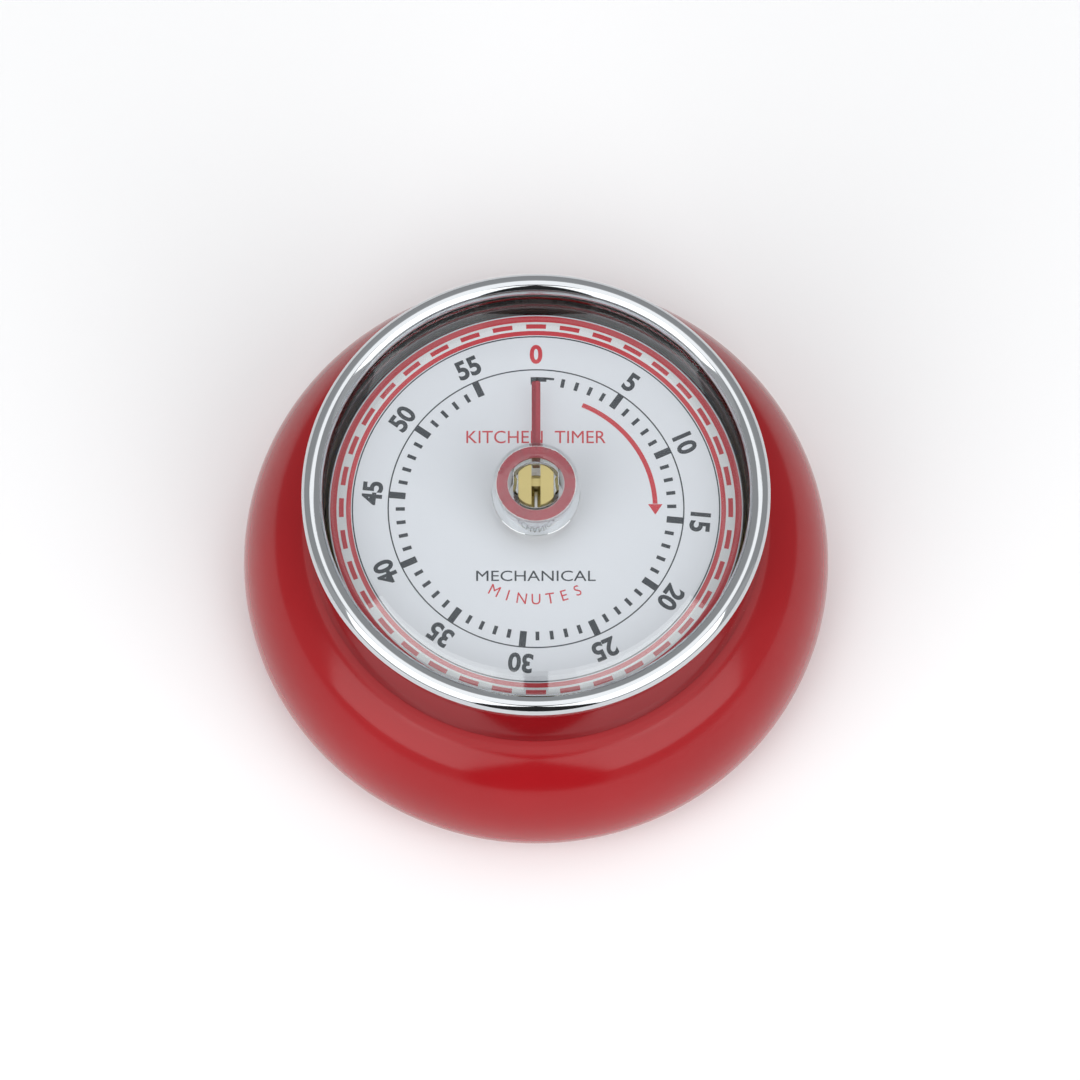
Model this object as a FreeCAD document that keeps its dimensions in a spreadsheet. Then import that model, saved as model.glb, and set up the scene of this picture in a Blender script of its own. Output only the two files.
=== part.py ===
import FreeCAD, Part
import math
import os
import Sketcher

# A wind-up kitchen timer with a magnetic back, lying on its back.
# +Z points out of the dial, +Y to the dial's zero, and the origin is the middle of the face it rests on.
# Lengths are in millimetres and angles in degrees.

DRIVING_SIZES = {
    "body_diameter": 75,
    "shell_wall": 0.7,
    "shell_lift": 0.7,
    "equator_level": 8.2,
    "lower_bulge": 11,
    "upper_bulge": 17,
    "upper_sweep": 40,
    "shoulder_bulge": 7,
    "shoulder_sweep": 80,
    "neck_radius": 28.15,
    "dial_level": 28,
    "dial_inset": 2.05,
    "dial_thickness": 0.5,
    "bezel_foot": 0.6,
    "bezel_overhang": 1.2,
    "bezel_rise": 6.8,
    "lip_outer_bulge": 1.3,
    "lip_inner_bulge": 1.3,
    "fit_gap": 0.05,
    "lens_rise": 4.9,
    "lens_thickness": 1.8,
    "lens_flange": 0.9,
    "lens_seat_rise": 3.5,
    "lens_seat_inset": 1.05,
    "hub_radius": 5.5,
    "hub_height": 4.4,
    "hub_wall": 0.5,
    "hub_roof": 0.5,
    "arbor_head_radius": 2.85,
    "arbor_flats": 4.4,
    "arbor_radius": 2,
    "arbor_recess": 0.9,
    "slot_width": 1.13,
    "slot_depth": 4.4,
    "slot_bridge_depth": 0.9,
    "key_thickness": 0.5,
    "key_height": 2.2,
    "pointer_width": 1.1,
    "pointer_length": 15.9,
    "pointer_thickness": 0.25,
    "pointer_skirt": 2.5,
    "sleeve_gap": 0.4,
    "sleeve_wall": 0.7,
    "cover_thickness": 2.4,
    "cover_gap": 0.45,
    "magnet_radius": 7,
    "magnet_thickness": 1.8,
    "magnet_circle": 18,
    "screw_circle": 28.8,
    "screw_radius": 1,
    "screw_head_radius": 2.1,
    "screw_head_height": 1.1,
    "gong_radius": 25,
    "gong_height": 4.6,
    "gong_wall": 0.8,
    "gong_level": 3.6,
    "plate_thickness": 1,
    "rear_plate_radius": 32,
    "rear_plate_level": 9,
    "front_plate_inset": 3.15,
    "plate_spacing": 12,
    "pillar_radius": 1.6,
    "pillar_inset": 2,
    "foot_inset": 4,
    "pillar_bearing": 50,
    "running_gap": 0.03,
    "great_module": 0.4,
    "great_teeth": 60,
    "pinion_teeth": 12,
    "second_module": 0.3,
    "second_teeth": 48,
    "third_module": 0.25,
    "third_teeth": 48,
    "backlash": 0.06,
    "wheel_thickness": 0.7,
    "second_bearing": 200,
    "third_bearing": 286,
    "escape_bearing": 329,
    "balance_bearing": 9,
    "strike_bearing": 80,
    "escape_radius": 4.8,
    "strike_radius": 5.2,
    "balance_distance": 7.6,
    "shaft_radius": 0.8,
    "pivot_radius": 0.45,
    "spring_thickness": 0.25,
    "spring_width": 5,
    "spring_radius": 9,
    "spring_turns": 6,
    "cam_radius": 4.5,
    "hammer_circle": 22.4,
    "hammer_bearing": 100,
    "hammer_radius": 1.5,
    "hammer_post_circle": 19,
    "hammer_post_bearing": 125,
    "release_gap": 1.8,
    "release_post_radius": 0.9,
    "release_bearing": 140,
}

GEAR_ADDENDUM = 0.7      # in modules, short enough for a twelve-leaf pinion
GEAR_DEDENDUM = 1.05     # in modules
PRESSURE_ANGLE = math.radians(20)
ESCAPE_TEETH = 24
STRIKE_TEETH = 12
MAGNETS = 3
PILLARS = 3

doc = FreeCAD.newDocument("KitchenTimer")
sheet = doc.addObject("Spreadsheet::Sheet", "Sizes")
pieces = []


class Size:
    """A number together with the spreadsheet formula that gives it."""

    def __init__(self, value, text):
        self.value = value
        self.text = text

    def __add__(self, other):
        other = as_size(other)
        return Size(self.value + other.value, f"({self.text} + {other.text})")

    def __sub__(self, other):
        other = as_size(other)
        return Size(self.value - other.value, f"({self.text} - {other.text})")

    def __mul__(self, other):
        other = as_size(other)
        return Size(self.value * other.value, f"({self.text} * {other.text})")

    def __truediv__(self, other):
        other = as_size(other)
        return Size(self.value / other.value, f"({self.text} / {other.text})")

    def __radd__(self, other):
        return as_size(other) + self

    def __rsub__(self, other):
        return as_size(other) - self

    def __rmul__(self, other):
        return as_size(other) * self

    def __neg__(self):
        return self * -1


def as_size(number):
    if isinstance(number, Size):
        return number
    return Size(float(number), f"({float(number)})")


def size(alias):
    return Size(float(sheet.get(alias)), f"Sizes.{alias}")


def cosine(angle):
    angle = as_size(angle)
    return Size(math.cos(math.radians(angle.value)), f"cos({angle.text} * 1 deg)")


def sine(angle):
    angle = as_size(angle)
    return Size(math.sin(math.radians(angle.value)), f"sin({angle.text} * 1 deg)")


def polar(radius, bearing, centre=(0, 0)):
    return centre[0] + radius * cosine(bearing), centre[1] + radius * sine(bearing)


def fill_sheet():
    for row, (alias, number) in enumerate(DRIVING_SIZES.items(), start=1):
        sheet.set(f"A{row}", alias)
        sheet.set(f"B{row}", str(number))
        sheet.setAlias(f"B{row}", alias)
    doc.recompute()


def bind(thing, **sizes):
    for name, number in sizes.items():
        thing.setExpression(name, as_size(number).text)
    return thing


def place(thing, x=0, y=0, z=0, turn=None):
    for axis, number in (("x", x), ("y", y), ("z", z)):
        thing.setExpression(f".Placement.Base.{axis}", as_size(number).text)
    if turn is not None:
        thing.Placement.Rotation = FreeCAD.Rotation(FreeCAD.Vector(0, 0, 1), 0)
        thing.setExpression(".Placement.Rotation.Angle", as_size(turn).text)
    return thing


def piece(thing, label):
    thing.Label = label
    pieces.append(thing)
    return thing


def cylinder(radius, height, x=0, y=0, z=0):
    rod = doc.addObject("Part::Cylinder", "Rod")
    bind(rod, Radius=radius, Height=height)
    return place(rod, x, y, z)


def cone(low_radius, high_radius, height, x=0, y=0, z=0):
    taper = doc.addObject("Part::Cone", "Taper")
    bind(taper, Radius1=low_radius, Radius2=high_radius, Height=height)
    return place(taper, x, y, z)


def box(length, width, height, x=0, y=0, z=0):
    """A block whose middle stands at x, y with its underside at z."""
    block = doc.addObject("Part::Box", "Block")
    bind(block, Length=length, Width=width, Height=height)
    return place(block, x - as_size(length) / 2, y - as_size(width) / 2, z)


def fuse(*shapes):
    joined = doc.addObject("Part::MultiFuse", "Joined")
    joined.Shapes = list(shapes)
    joined.Refine = True
    return joined


def group(*shapes):
    bundle = doc.addObject("Part::Compound", "Bundle")
    bundle.Links = list(shapes)
    return bundle


def cut(base, *tools):
    remainder = doc.addObject("Part::Cut", "Remainder")
    remainder.Base = base
    remainder.Tool = tools[0] if len(tools) == 1 else group(*tools)
    return remainder


def common(first, second):
    overlap = doc.addObject("Part::Common", "Overlap")
    overlap.Base = first
    overlap.Tool = second
    return overlap


def origin_plane(body, role):
    return next(plane for plane in body.Origin.OriginFeatures if plane.Role == role)


def arc_between(start, end, radius, side):
    """The short arc from start to end: side 1 bulges to the right of the way, -1 to the left."""
    chord = end - start
    middle = (start + end) * 0.5
    reach = math.sqrt(radius ** 2 - (chord.Length / 2) ** 2)
    across = FreeCAD.Vector(-chord.y, chord.x, 0).normalize()
    centre = middle + across * (reach * side)
    first, last = (start, end) if side > 0 else (end, start)
    circle = Part.Circle(centre, FreeCAD.Vector(0, 0, 1), radius)
    return Part.ArcOfCircle(circle, circle.parameter(first), circle.parameter(last))


def draw_outline(sketch, corners):
    """Closed outline. A corner is (r, z), or (r, z, radius, side) where an arc leaves it."""
    points = [FreeCAD.Vector(as_size(c[0]).value, as_size(c[1]).value, 0) for c in corners]
    ends = []
    for index, corner in enumerate(corners):
        start, end = points[index], points[(index + 1) % len(points)]
        if len(corner) == 2:
            edge = sketch.addGeometry(Part.LineSegment(start, end), False)
            ends.append((edge, 1, 2))
        else:
            radius, side = as_size(corner[2]), corner[3]
            edge = sketch.addGeometry(arc_between(start, end, radius.value, side), False)
            ends.append((edge, 1, 2) if side > 0 else (edge, 2, 1))
            rule = sketch.addConstraint(Sketcher.Constraint("Radius", edge, radius.value))
            sketch.setExpression(f"Constraints[{rule}]", radius.text)
    for index, corner in enumerate(corners):
        edge, first, last = ends[index]
        after, after_first, after_last = ends[(index + 1) % len(ends)]
        sketch.addConstraint(Sketcher.Constraint("Coincident", edge, last, after, after_first))
        for rule_name, number, axis in (("DistanceX", corner[0], -2), ("DistanceY", corner[1], -1)):
            number = as_size(number)
            if abs(number.value) < 1e-9:
                sketch.addConstraint(Sketcher.Constraint("PointOnObject", edge, first, axis))
                continue
            rule = sketch.addConstraint(Sketcher.Constraint(rule_name, -1, 1, edge, first, number.value))
            sketch.setExpression(f"Constraints[{rule}]", number.text)


def turned(name, corners):
    """A body of revolution about Z from an outline in the r, z half plane."""
    body = doc.addObject("PartDesign::Body", name)
    sketch = body.newObject("Sketcher::SketchObject", f"{name}_outline")
    sketch.AttachmentSupport = [(origin_plane(body, "XZ_Plane"), "")]
    sketch.MapMode = "FlatFace"
    draw_outline(sketch, corners)
    revolution = body.newObject("PartDesign::Revolution", f"{name}_turn")
    revolution.Profile = sketch
    revolution.ReferenceAxis = (sketch, ["V_Axis"])
    revolution.Angle = 360
    body.Tip = revolution
    return body


def padded(name, corners, level, height):
    """A flat body: an outline in the x, y plane, lifted to its level and padded upwards."""
    body = doc.addObject("PartDesign::Body", name)
    sketch = body.newObject("Sketcher::SketchObject", f"{name}_outline")
    sketch.AttachmentSupport = [(origin_plane(body, "XY_Plane"), "")]
    sketch.MapMode = "FlatFace"
    draw_outline(sketch, corners)
    pad = body.newObject("PartDesign::Pad", f"{name}_pad")
    pad.Profile = sketch
    bind(pad, Length=height)
    body.Tip = pad
    return place(body, z=level)


# Levels and radii that several pieces share

def body_radius():
    return size("body_diameter") / 2


def ledge_level():
    """Top of the shell's ledge, which carries the bezel."""
    upper, shoulder = size("upper_bulge"), size("shoulder_bulge")
    sweep, end = size("upper_sweep"), size("shoulder_sweep")
    return size("equator_level") + upper * sine(sweep) + shoulder * (sine(end) - sine(sweep))


def shoulder_radius():
    upper, shoulder = size("upper_bulge"), size("shoulder_bulge")
    sweep, end = size("upper_sweep"), size("shoulder_sweep")
    return body_radius() - upper * (1 - cosine(sweep)) - shoulder * (cosine(sweep) - cosine(end))


def shell_mouth_radius():
    """Outer radius of the shell's lower edge."""
    drop = (size("equator_level") - size("shell_lift")) / size("lower_bulge")
    across = Size(math.sqrt(1 - drop.value ** 2), f"sqrt(1 - pow({drop.text}; 2))")
    return body_radius() - size("lower_bulge") * (1 - across)


def shell_inner_mouth_radius():
    """Inner radius of the shell's lower edge."""
    inner = size("lower_bulge") - size("shell_wall")
    drop = (size("equator_level") - size("shell_lift")) / inner
    across = Size(math.sqrt(1 - drop.value ** 2), f"sqrt(1 - pow({drop.text}; 2))")
    return body_radius() - size("lower_bulge") + inner * across


def dial_radius():
    return size("neck_radius") - size("dial_inset")


def bezel_radius():
    return size("neck_radius") + size("bezel_overhang")


def lens_seat_radius():
    return size("neck_radius") - size("lens_seat_inset")


def front_plate_radius():
    return size("neck_radius") - size("front_plate_inset")


def great_tip_radius():
    return size("great_module") * (size("great_teeth") / 2 + GEAR_ADDENDUM)


def release_circle():
    """Distance of the release lever's post from the axis, clear of the great wheel."""
    return great_tip_radius() + size("release_gap") + size("release_post_radius")


def neck_top():
    return size("dial_level") + size("lens_seat_rise") - size("lens_flange")


def lens_top():
    return size("dial_level") + size("lens_rise")


def lens_underside():
    return lens_top() - size("lens_thickness")


def hub_top():
    return lens_top() + size("hub_height")


def arbor_top():
    return hub_top() - size("arbor_recess")


def front_plate_level():
    return size("rear_plate_level") + size("plate_thickness") + size("plate_spacing")


def between_plates():
    return size("rear_plate_level") + size("plate_thickness")


def cover_radius():
    return shell_inner_mouth_radius() - size("cover_gap")


# The turning cap

def make_shell():
    wall = size("shell_wall")
    low, high, shoulder = size("lower_bulge"), size("upper_bulge"), size("shoulder_bulge")
    sweep, end = size("upper_sweep"), size("shoulder_sweep")
    equator, lift, radius = size("equator_level"), size("shell_lift"), body_radius()
    knee_r = radius - high * (1 - cosine(sweep))
    knee_z = equator + high * sine(sweep)
    under = ledge_level() - wall * sine(end)
    corners = [
        (shell_mouth_radius(), lift, low, 1),
        (radius, equator, high, 1),
        (knee_r, knee_z, shoulder, 1),
        (shoulder_radius(), ledge_level()),
        (size("neck_radius"), ledge_level()),
        (size("neck_radius"), neck_top()),
        (size("neck_radius") - wall, neck_top()),
        (size("neck_radius") - wall, under),
        (shoulder_radius() - wall * cosine(end), under, shoulder - wall, -1),
        (knee_r - wall * cosine(sweep), knee_z - wall * sine(sweep), high - wall, -1),
        (radius - wall, equator, low - wall, -1),
        (shell_inner_mouth_radius(), lift),
    ]
    return piece(turned("ShellBody", corners), "shell")


def make_bezel():
    crest = size("dial_level") + size("bezel_rise")
    outer, inner = size("lip_outer_bulge"), size("lip_inner_bulge")
    neck, foot = size("neck_radius") + size("fit_gap"), size("bezel_foot")
    rim = bezel_radius()
    seat = size("dial_level") + size("lens_seat_rise")
    corners = [
        (neck, ledge_level()),
        (neck + foot, ledge_level()),
        (rim, crest - outer, outer, 1),
        (rim - outer, crest, inner, 1),
        (rim - outer - inner, crest - inner),
        (lens_seat_radius(), seat),
        (neck, seat),
    ]
    return piece(turned("BezelBody", corners), "bezel")


def double_d(radius, flats, height, level):
    """A round bar with two flats, left and right."""
    return common(cylinder(radius, height, z=level), box(flats, radius * 2, height, z=level))


def make_lens():
    top, under, seat = lens_top(), lens_underside(), size("dial_level") + size("lens_seat_rise")
    bottom = seat - size("lens_flange")
    hub, wall, roof = size("hub_radius"), size("hub_wall"), size("hub_roof")
    draft, edge, rim_land = 0.2, 0.3, 0.7
    boss = size("arbor_head_radius") + wall
    flange = size("neck_radius")
    window = lens_seat_radius() - 1.2
    corners = [
        (0, hub_top()),
        (0, under + 0.2),
        (boss, under + 0.2),
        (boss, hub_top() - roof),
        (hub - wall, hub_top() - roof),
        (hub - wall, under),
        (window, under),
        (window + 0.2, bottom),
        (flange, bottom),
        (flange, seat),
        (lens_seat_radius(), seat),
        (lens_seat_radius() - rim_land, top),
        (hub, top),
        (hub - draft, hub_top() - edge, edge, 1),
        (hub - draft - edge, hub_top()),
    ]
    blank = turned("LensBody", list(reversed_outline(corners)))
    radius = size("arbor_head_radius") + size("running_gap")
    flats = size("arbor_flats") + size("running_gap") * 2
    bore = double_d(radius, flats, size("hub_height") + size("lens_thickness"), under)
    mouth_level = arbor_top() - 0.8
    mouth = double_d(radius + 0.25, flats + 0.5, hub_top() - mouth_level + 1, mouth_level)
    return piece(cut(blank, fuse(bore, mouth)), "lens")


def reversed_outline(corners):
    """The same outline walked the other way, with each arc moved to its new first corner."""
    turned_round = []
    for index in range(len(corners) - 1, -1, -1):
        here = corners[index]
        before = corners[index - 1]
        arc = (before[2], -before[3]) if len(before) == 4 else ()
        turned_round.append((here[0], here[1]) + arc)
    return turned_round


def make_pointer():
    """A bent pointer: a ring under the hub's roof, a leg down the hub's wall and the bar under the lens."""
    thick, width = size("pointer_thickness"), size("pointer_width")
    outer = size("hub_radius") - size("hub_wall") - size("fit_gap")
    inner = size("arbor_head_radius") + size("hub_wall") + size("fit_gap")
    roof = hub_top() - size("hub_roof")
    ring = cut(cylinder(outer, thick, z=roof - thick), cylinder(inner, thick, z=roof - thick))
    drop = size("pointer_skirt")
    skirt = cut(cylinder(outer, drop, z=roof - drop), cylinder(outer - thick, drop, z=roof - drop))
    under = lens_underside()
    leg_low = under - thick
    tube = cut(cylinder(outer, roof - leg_low, z=leg_low), cylinder(outer - thick, roof - leg_low, z=leg_low))
    leg = common(tube, box(width, outer, roof - leg_low, y=outer / 2 + 1, z=leg_low))
    length = size("pointer_length") - outer + thick
    bar = box(width, length, thick, y=outer - thick + length / 2, z=leg_low)
    return piece(fuse(ring, skirt, leg, bar), "pointer")


def make_sleeve():
    inner = dial_radius() + size("sleeve_gap")
    low = size("dial_level") - 1
    height = neck_top() - low
    tube = cut(cylinder(inner + size("sleeve_wall"), height, z=low), cylinder(inner, height, z=low))
    return piece(tube, "lens_sleeve")


def make_arbor():
    head, radius = size("arbor_head_radius"), size("arbor_radius")
    head_low = size("dial_level") + 1
    low = between_plates()
    spindle = cylinder(radius, head_low - low, z=low)
    tip = double_d(head, size("arbor_flats"), arbor_top() - head_low, head_low)
    pivot_low = size("rear_plate_level") + 0.2
    pivot = cylinder(radius * 0.7, low - pivot_low, z=pivot_low)
    depth = size("slot_depth")
    slot = box(size("slot_width"), head * 2, depth, z=arbor_top() - depth)
    bridge_height = depth - size("slot_bridge_depth")
    bridge = box(size("slot_width"), head * 0.36, bridge_height, y=head * 0.22, z=arbor_top() - depth)
    return piece(cut(fuse(spindle, tip, pivot), cut(slot, bridge)), "arbor")


def make_arbor_key():
    """A steel strip standing in the near half of the slot."""
    length = size("arbor_head_radius") * 0.75
    low = arbor_top() - size("slot_depth")
    strip = box(size("key_thickness"), length, size("key_height"), y=length * -0.55, z=low)
    return piece(strip, "arbor_key")


# The going train

def involute(angle):
    return math.tan(angle) - angle


def tooth_flank(module, teeth, backlash, inner_radius):
    """Points of one flank, as (radius, half angle of the tooth), from the root outwards."""
    pitch = module * teeth / 2
    base = pitch * math.cos(PRESSURE_ANGLE)
    tip = pitch + GEAR_ADDENDUM * module
    half = math.pi / (2 * teeth) - backlash / (4 * pitch) + involute(PRESSURE_ANGLE)
    first = max(base, inner_radius)
    flank = []
    for step in range(5):
        radius = first + (tip - first) * step / 4
        flank.append((radius, half - involute(math.acos(min(1, base / radius)))))
    return flank


def gear_solid(module, teeth, backlash, height, phase, hole=0):
    """A spur gear about Z, standing on z = 0, with a tooth centred at phase degrees."""
    root = module * teeth / 2 - GEAR_DEDENDUM * module
    flank = tooth_flank(module, teeth, backlash, root)
    edges = []
    previous = None
    for tooth in range(teeth):
        centre = math.radians(phase) + 2 * math.pi * tooth / teeth
        rise = [on_circle(radius, centre - half) for radius, half in flank]
        fall = [on_circle(radius, centre + half) for radius, half in reversed(flank)]
        foot_in = on_circle(root, centre - flank[0][1])
        foot_out = on_circle(root, centre + flank[0][1])
        if previous is not None:
            edges.append(Part.LineSegment(previous, foot_in).toShape())
        else:
            first_foot = foot_in
        if (rise[0] - foot_in).Length > 1e-6:
            edges.append(Part.LineSegment(foot_in, rise[0]).toShape())
        edges.append(spline(rise))
        edges.append(Part.LineSegment(rise[-1], fall[0]).toShape())
        edges.append(spline(fall))
        if (fall[-1] - foot_out).Length > 1e-6:
            edges.append(Part.LineSegment(fall[-1], foot_out).toShape())
        previous = foot_out
    edges.append(Part.LineSegment(previous, first_foot).toShape())
    outline = Part.Wire([edge for edge in edges if edge is not None])
    solid = Part.Face(outline).extrude(FreeCAD.Vector(0, 0, height))
    if hole:
        solid = solid.cut(Part.makeCylinder(hole, height))
    return solid


def on_circle(radius, angle):
    return FreeCAD.Vector(radius * math.cos(angle), radius * math.sin(angle), 0)


def spline(points):
    curve = Part.BSplineCurve()
    curve.interpolate(points)
    return curve.toShape()


def toothed_disc(tip, root, teeth, lean, height, hole):
    """A disc with pointed teeth that lean by a share of the pitch, for the escape and strike wheels."""
    pitch = 2 * math.pi / teeth
    corners = []
    for tooth in range(teeth):
        corners.append(on_circle(root, tooth * pitch))
        corners.append(on_circle(tip, (tooth + lean) * pitch))
        corners.append(on_circle(tip, (tooth + lean + 0.08) * pitch))
        corners.append(on_circle(root, (tooth + 0.55) * pitch))
    corners.append(corners[0])
    solid = Part.Face(Part.makePolygon(corners)).extrude(FreeCAD.Vector(0, 0, height))
    return solid.cut(Part.makeCylinder(hole, height))


def feature(shape, label, x=0, y=0, z=0):
    thing = doc.addObject("Part::Feature", "Piece")
    thing.Shape = shape
    thing.Placement = FreeCAD.Placement(FreeCAD.Vector(x, y, z), FreeCAD.Rotation())
    return piece(thing, label)


def at(value):
    return size(value).value


def moved(shape, level):
    shape.translate(FreeCAD.Vector(0, 0, level))
    return shape


def pierced(solid, count, circle, radius, height):
    """Crossing holes that lighten a wheel."""
    for step in range(count):
        spot = on_circle(circle, 2 * math.pi * step / count)
        solid = solid.cut(Part.makeCylinder(radius, height, spot))
    return solid


def shaft_spots():
    """x and y of each train shaft, from the centre distances of its gears."""
    leaves = at("pinion_teeth")
    great = at("great_module") * (at("great_teeth") + leaves) / 2
    second = at("second_module") * (at("second_teeth") + leaves) / 2
    third = at("third_module") * (at("third_teeth") + leaves) / 2
    steps = (("second", "arbor", great), ("third", "second", second), ("escape", "third", third),
             ("balance", "escape", at("balance_distance")), ("strike", "arbor", great))
    spots = {"arbor": FreeCAD.Vector()}
    for name, start, distance in steps:
        bearing = math.radians(at(f"{name}_bearing"))
        spots[name] = spots[start] + on_circle(distance, bearing)
    return spots


def pinion_with_shaft(module, bearing, leaf_level, leaf_height, seat_level, seat_height):
    """A pinion cut in one with its shaft, pivots and the seat that its wheel is pressed on."""
    leaves = int(at("pinion_teeth"))
    low = between_plates().value
    high = front_plate_level().value
    phase = bearing + 180 + 180 / leaves
    leaf = moved(gear_solid(module, leaves, at("backlash"), leaf_height, phase), leaf_level)
    shoulder = 0.15
    body = moved(Part.makeCylinder(at("shaft_radius"), high - low - 2 * shoulder), low + shoulder)
    pivot_low = at("rear_plate_level")
    pivot_high = high + at("plate_thickness")
    pivot = moved(Part.makeCylinder(at("pivot_radius"), pivot_high - pivot_low), pivot_low)
    seat = moved(Part.makeCylinder(seat_radius(), seat_height), seat_level)
    return body.fuse([leaf, pivot, seat]).removeSplitter()


def seat_radius():
    return at("shaft_radius") + 0.4


def train_levels():
    """Underside of each wheel, counted up from the rear plate."""
    low = between_plates().value
    return {"great": low + 1.6, "second": low + 3.8, "third": low + 5.8, "escape": low + 8, "strike": low + 3.8}


def make_train():
    levels, spots, thick = train_levels(), shaft_spots(), at("wheel_thickness")
    leaf_extra = 0.3
    stages = (
        ("second", "great", at("great_module"), at("second_bearing")),
        ("third", "second", at("second_module"), at("third_bearing")),
        ("escape", "third", at("third_module"), at("escape_bearing")),
        ("strike", "great", at("great_module"), at("strike_bearing")),
    )
    for name, driver, module, bearing in stages:
        leaf_level = levels[driver] - leaf_extra
        solid = pinion_with_shaft(module, bearing, leaf_level, thick + 2 * leaf_extra, levels[name], thick)
        feature(solid, f"{name}_pinion", spots[name].x, spots[name].y)
    wheels = (
        ("second", at("second_module"), int(at("second_teeth")), at("third_bearing")),
        ("third", at("third_module"), int(at("third_teeth")), at("escape_bearing")),
    )
    for name, module, teeth, phase in wheels:
        solid = gear_solid(module, teeth, at("backlash"), thick, phase, seat_radius())
        solid = pierced(solid, 5, module * teeth * 0.31, module * teeth * 0.1, thick)
        feature(solid, f"{name}_wheel", spots[name].x, spots[name].y, levels[name])
    great = gear_solid(at("great_module"), int(at("great_teeth")), at("backlash"), thick, at("second_bearing"),
                       at("arbor_radius"))
    great = pierced(great, 6, 7.5, 2, thick)
    feature(great, "great_wheel", z=levels["great"])
    escape = toothed_disc(at("escape_radius"), at("escape_radius") - 1, ESCAPE_TEETH, 0.7, thick, seat_radius())
    feature(escape, "escape_wheel", spots["escape"].x, spots["escape"].y, levels["escape"])
    strike = toothed_disc(at("strike_radius"), at("strike_radius") - 1, STRIKE_TEETH, 0.5, thick, seat_radius())
    feature(strike, "strike_wheel", spots["strike"].x, spots["strike"].y, levels["strike"])


def make_clutch():
    """A dished washer that lets the cap be wound while the great wheel stays in mesh."""
    low = train_levels()["great"] + at("wheel_thickness")
    dish = Part.makeCone(5, 3, 0.5).cut(Part.makeCone(4.7, 2.7, 0.5))
    rim = Part.makeCylinder(3, 0.3, FreeCAD.Vector(0, 0, 0.5)).cut(
        Part.makeCylinder(at("arbor_radius"), 0.3, FreeCAD.Vector(0, 0, 0.5)))
    feature(dish.fuse(rim), "clutch_washer", z=low)


def cam_level():
    return train_levels()["great"] + at("wheel_thickness") + 0.8


def feeler_bearing():
    return at("release_bearing") - 25


def make_cam():
    """The release cam: a disc with one notch that faces the lever's feeler at zero."""
    height = 0.8
    disc = Part.makeCylinder(at("cam_radius"), height).cut(Part.makeCylinder(at("arbor_radius"), height))
    notch = Part.makeBox(1.6, 1.6, height, FreeCAD.Vector(at("cam_radius") - 0.9, -0.8, 0))
    notch.rotate(FreeCAD.Vector(), FreeCAD.Vector(0, 0, 1), feeler_bearing())
    feature(disc.cut(notch), "release_cam", z=cam_level())


def make_mainspring():
    """A flat spiral strip around the arbor."""
    thick, turns = at("spring_thickness"), at("spring_turns")
    inner, outer = at("arbor_radius") + 0.15, at("spring_radius")
    steps = int(turns * 12)
    inside, outside = [], []
    for step in range(steps + 1):
        share = step / steps
        radius = inner + (outer - inner - thick) * share
        angle = 2 * math.pi * turns * share
        inside.append(on_circle(radius, angle))
        outside.append(on_circle(radius + thick, angle))
    outside.reverse()
    edges = [spline(inside), Part.LineSegment(inside[-1], outside[0]).toShape(),
             spline(outside), Part.LineSegment(outside[-1], inside[0]).toShape()]
    strip = Part.Face(Part.Wire(edges)).extrude(FreeCAD.Vector(0, 0, at("spring_width")))
    feature(strip, "mainspring", z=between_plates().value + 6)


def make_spring_post():
    """The post that holds the spring's outer end hangs from the front plate, clear of the great wheel."""
    radius, drop = 1.0, 5.5
    spot = at("spring_radius") + radius
    post = Part.makeCylinder(radius, at("plate_spacing") - drop)
    feature(post, "spring_post", spot, 0, between_plates().value + drop)


def make_balance():
    """The balance bar with two weights, and the pallet fork, both on one short staff."""
    spot = shaft_spots()["balance"]
    level = train_levels()["escape"]
    low, high = between_plates().value, front_plate_level().value
    staff = moved(Part.makeCylinder(0.6, high - low - 0.3), low + 0.15)
    pivots = moved(Part.makeCylinder(at("pivot_radius"), high - low + 2 * at("plate_thickness")),
                   at("rear_plate_level"))
    bar_level = level + 1.6
    arm = moved(Part.makeBox(1, 8, 0.6, FreeCAD.Vector(-0.5, -4, 0)), bar_level)
    weights = [moved(Part.makeCylinder(1.1, 1.2, FreeCAD.Vector(0, y, 0)), bar_level - 0.3) for y in (-3.4, 3.4)]
    bar = staff.fuse([pivots, arm] + weights).removeSplitter()
    bar.rotate(FreeCAD.Vector(), FreeCAD.Vector(0, 0, 1), at("balance_bearing"))
    feature(bar, "balance_bar", spot.x, spot.y)
    thick = at("wheel_thickness")
    reach = at("balance_distance") - at("escape_radius") - 0.15
    hub = Part.makeCylinder(1.1, thick).cut(Part.makeCylinder(0.6, thick))
    plate = Part.makeBox(1.2, 3.6, thick, FreeCAD.Vector(-1.9, -1.8, 0)).cut(Part.makeCylinder(0.6, thick))
    tips = [Part.makeBox(reach - 1.5, 0.6, thick, FreeCAD.Vector(-reach + 0.25, y, 0)) for y in (-1.8, 1.2)]
    fork = hub.fuse([plate] + tips).removeSplitter()
    fork.rotate(FreeCAD.Vector(), FreeCAD.Vector(0, 0, 1), at("balance_bearing"))
    feature(fork, "pallet_fork", spot.x, spot.y, level)


# Strike work

def arm_between(start, end, width, height):
    """A flat arm with round ends from start to end."""
    way = end - start
    bar = Part.makeBox(way.Length, width, height, FreeCAD.Vector(0, -width / 2, 0))
    bar.rotate(FreeCAD.Vector(), FreeCAD.Vector(0, 0, 1), math.degrees(math.atan2(way.y, way.x)))
    bar.translate(start)
    ends = [Part.makeCylinder(width / 2, height, spot) for spot in (start, end)]
    return bar.fuse(ends)


def hammer_spots():
    post = on_circle(at("hammer_post_circle"), math.radians(at("hammer_post_bearing")))
    head = on_circle(at("hammer_circle"), math.radians(at("hammer_bearing")))
    return post, head


def hammer_level():
    return train_levels()["strike"]


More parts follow.
